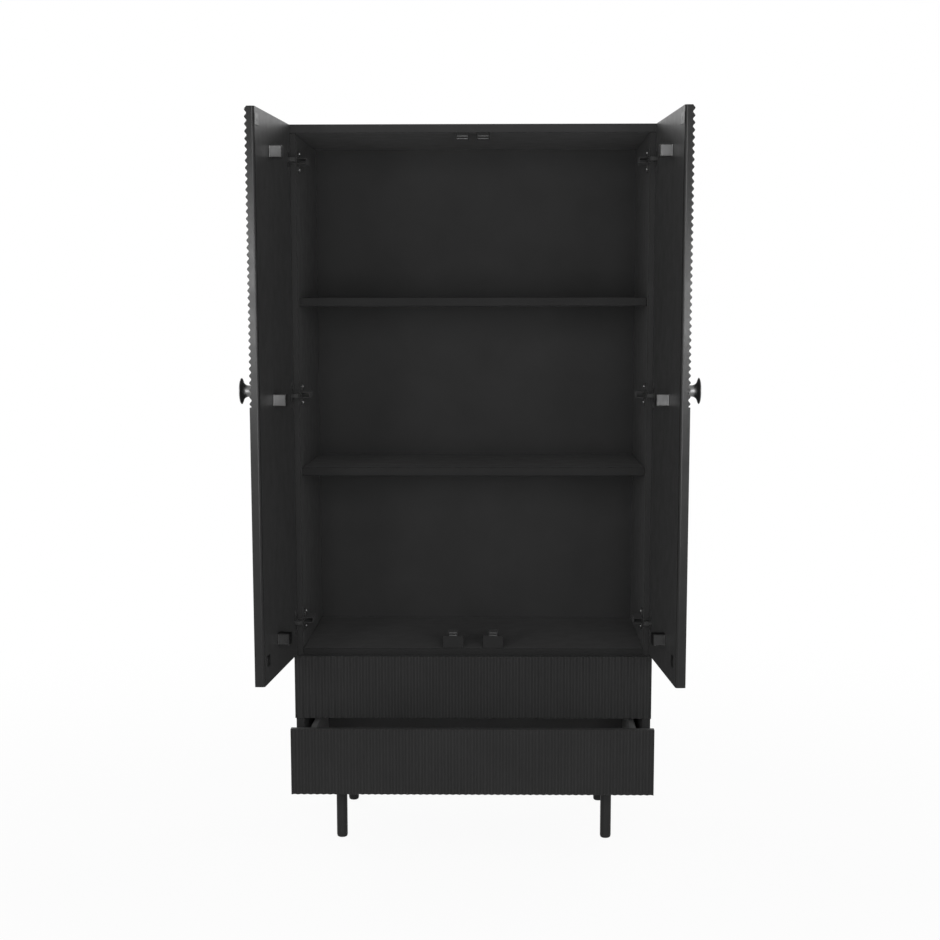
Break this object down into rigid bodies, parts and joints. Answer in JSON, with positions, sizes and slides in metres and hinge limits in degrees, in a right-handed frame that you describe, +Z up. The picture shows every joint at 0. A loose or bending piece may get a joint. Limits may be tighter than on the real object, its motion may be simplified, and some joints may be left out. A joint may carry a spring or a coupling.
{
  "type": "two-door storage cabinet with drawers",
  "caption": "Tall freestanding storage cabinet with ribbed hinged doors over full-width ribbed drawers, fixed inner shelves and round legs.",
  "frame": {"origin": "on the floor, under the centre of the box around the cabinet as it stands, with both doors open and the lower drawer pulled out a little", "axes": "+Z up, the front with its doors and drawers faces -Y, +X to the right as seen from the front"},
  "size_m": [0.9252, 0.8844, 1.6],
  "materials": {
    "satin_black": "satin black paint on board",
    "black_board": "matt black board",
    "leg_paint": "satin black paint",
    "dark_metal": "polished dark metal",
    "plated_steel": "dull plated steel",
    "black_plastic": "black moulded plastic with two thin steel poles",
    "zinc": "zinc-plated sheet"
  },
  "bodies": {
    "carcass": {"back_panel": "black_board", "base_panel": "satin_black", "catch_bottom_left": "black_plastic", "catch_bottom_right": "black_plastic", "catch_top_left": "black_plastic", "catch_top_right": "black_plastic", "floor_panel": "black_board", "hinge_arm_left_bottom": "dark_metal", "hinge_arm_left_middle": "dark_metal", "hinge_arm_left_top": "dark_metal", "hinge_arm_right_bottom": "dark_metal", "hinge_arm_right_middle": "dark_metal", "hinge_arm_right_top": "dark_metal", "leg_back_left": "leg_paint", "leg_back_right": "leg_paint", "leg_front_left": "leg_paint", "leg_front_right": "leg_paint", "runner_lower_left": "zinc", "runner_lower_right": "zinc", "runner_upper_left": "zinc", "runner_upper_right": "zinc", "shelf_lower": "black_board", "shelf_upper": "black_board", "side_left": "satin_black", "side_right": "satin_black", "top_panel": "satin_black"},
    "door_left": {"block_left_bottom": "plated_steel", "block_left_middle": "plated_steel", "block_left_top": "plated_steel", "door_left": "satin_black", "hinge_cup_left_bottom": "dark_metal", "hinge_cup_left_middle": "dark_metal", "hinge_cup_left_top": "dark_metal", "knob_left": "dark_metal", "strike_bottom_left": "plated_steel", "strike_top_left": "plated_steel"},
    "door_right": {"block_right_bottom": "plated_steel", "block_right_middle": "plated_steel", "block_right_top": "plated_steel", "door_right": "satin_black", "hinge_cup_right_bottom": "dark_metal", "hinge_cup_right_middle": "dark_metal", "hinge_cup_right_top": "dark_metal", "knob_right": "dark_metal", "strike_bottom_right": "plated_steel", "strike_top_right": "plated_steel"},
    "drawer_upper": {"drawer_upper_back": "black_board", "drawer_upper_bottom": "black_board", "drawer_upper_front": "satin_black", "drawer_upper_rail_left": "zinc", "drawer_upper_rail_right": "zinc", "drawer_upper_side_left": "black_board", "drawer_upper_side_right": "black_board"},
    "drawer_lower": {"drawer_lower_back": "black_board", "drawer_lower_bottom": "black_board", "drawer_lower_front": "satin_black", "drawer_lower_rail_left": "zinc", "drawer_lower_rail_right": "zinc", "drawer_lower_side_left": "black_board", "drawer_lower_side_right": "black_board"}
  },
  "joints": [
    {"name": "door_left_hinge", "type": "hinge", "parent": "carcass", "child": "door_left", "pos_m": [-0.399, -0.04525, 1.0213], "axis": [0, 0, -1], "range_deg": [-93.7, 11.3]},
    {"name": "door_right_hinge", "type": "hinge", "parent": "carcass", "child": "door_right", "pos_m": [0.399, -0.04525, 1.0213], "axis": [0, 0, 1], "range_deg": [-93.7, 11.3]},
    {"name": "drawer_upper_slide", "type": "slide", "parent": "carcass", "child": "drawer_upper", "axis": [0, -1, 0], "range_m": [0, 0.3]},
    {"name": "drawer_lower_slide", "type": "slide", "parent": "carcass", "child": "drawer_lower", "axis": [0, -1, 0], "range_m": [-0.105, 0.195]}
  ]
}
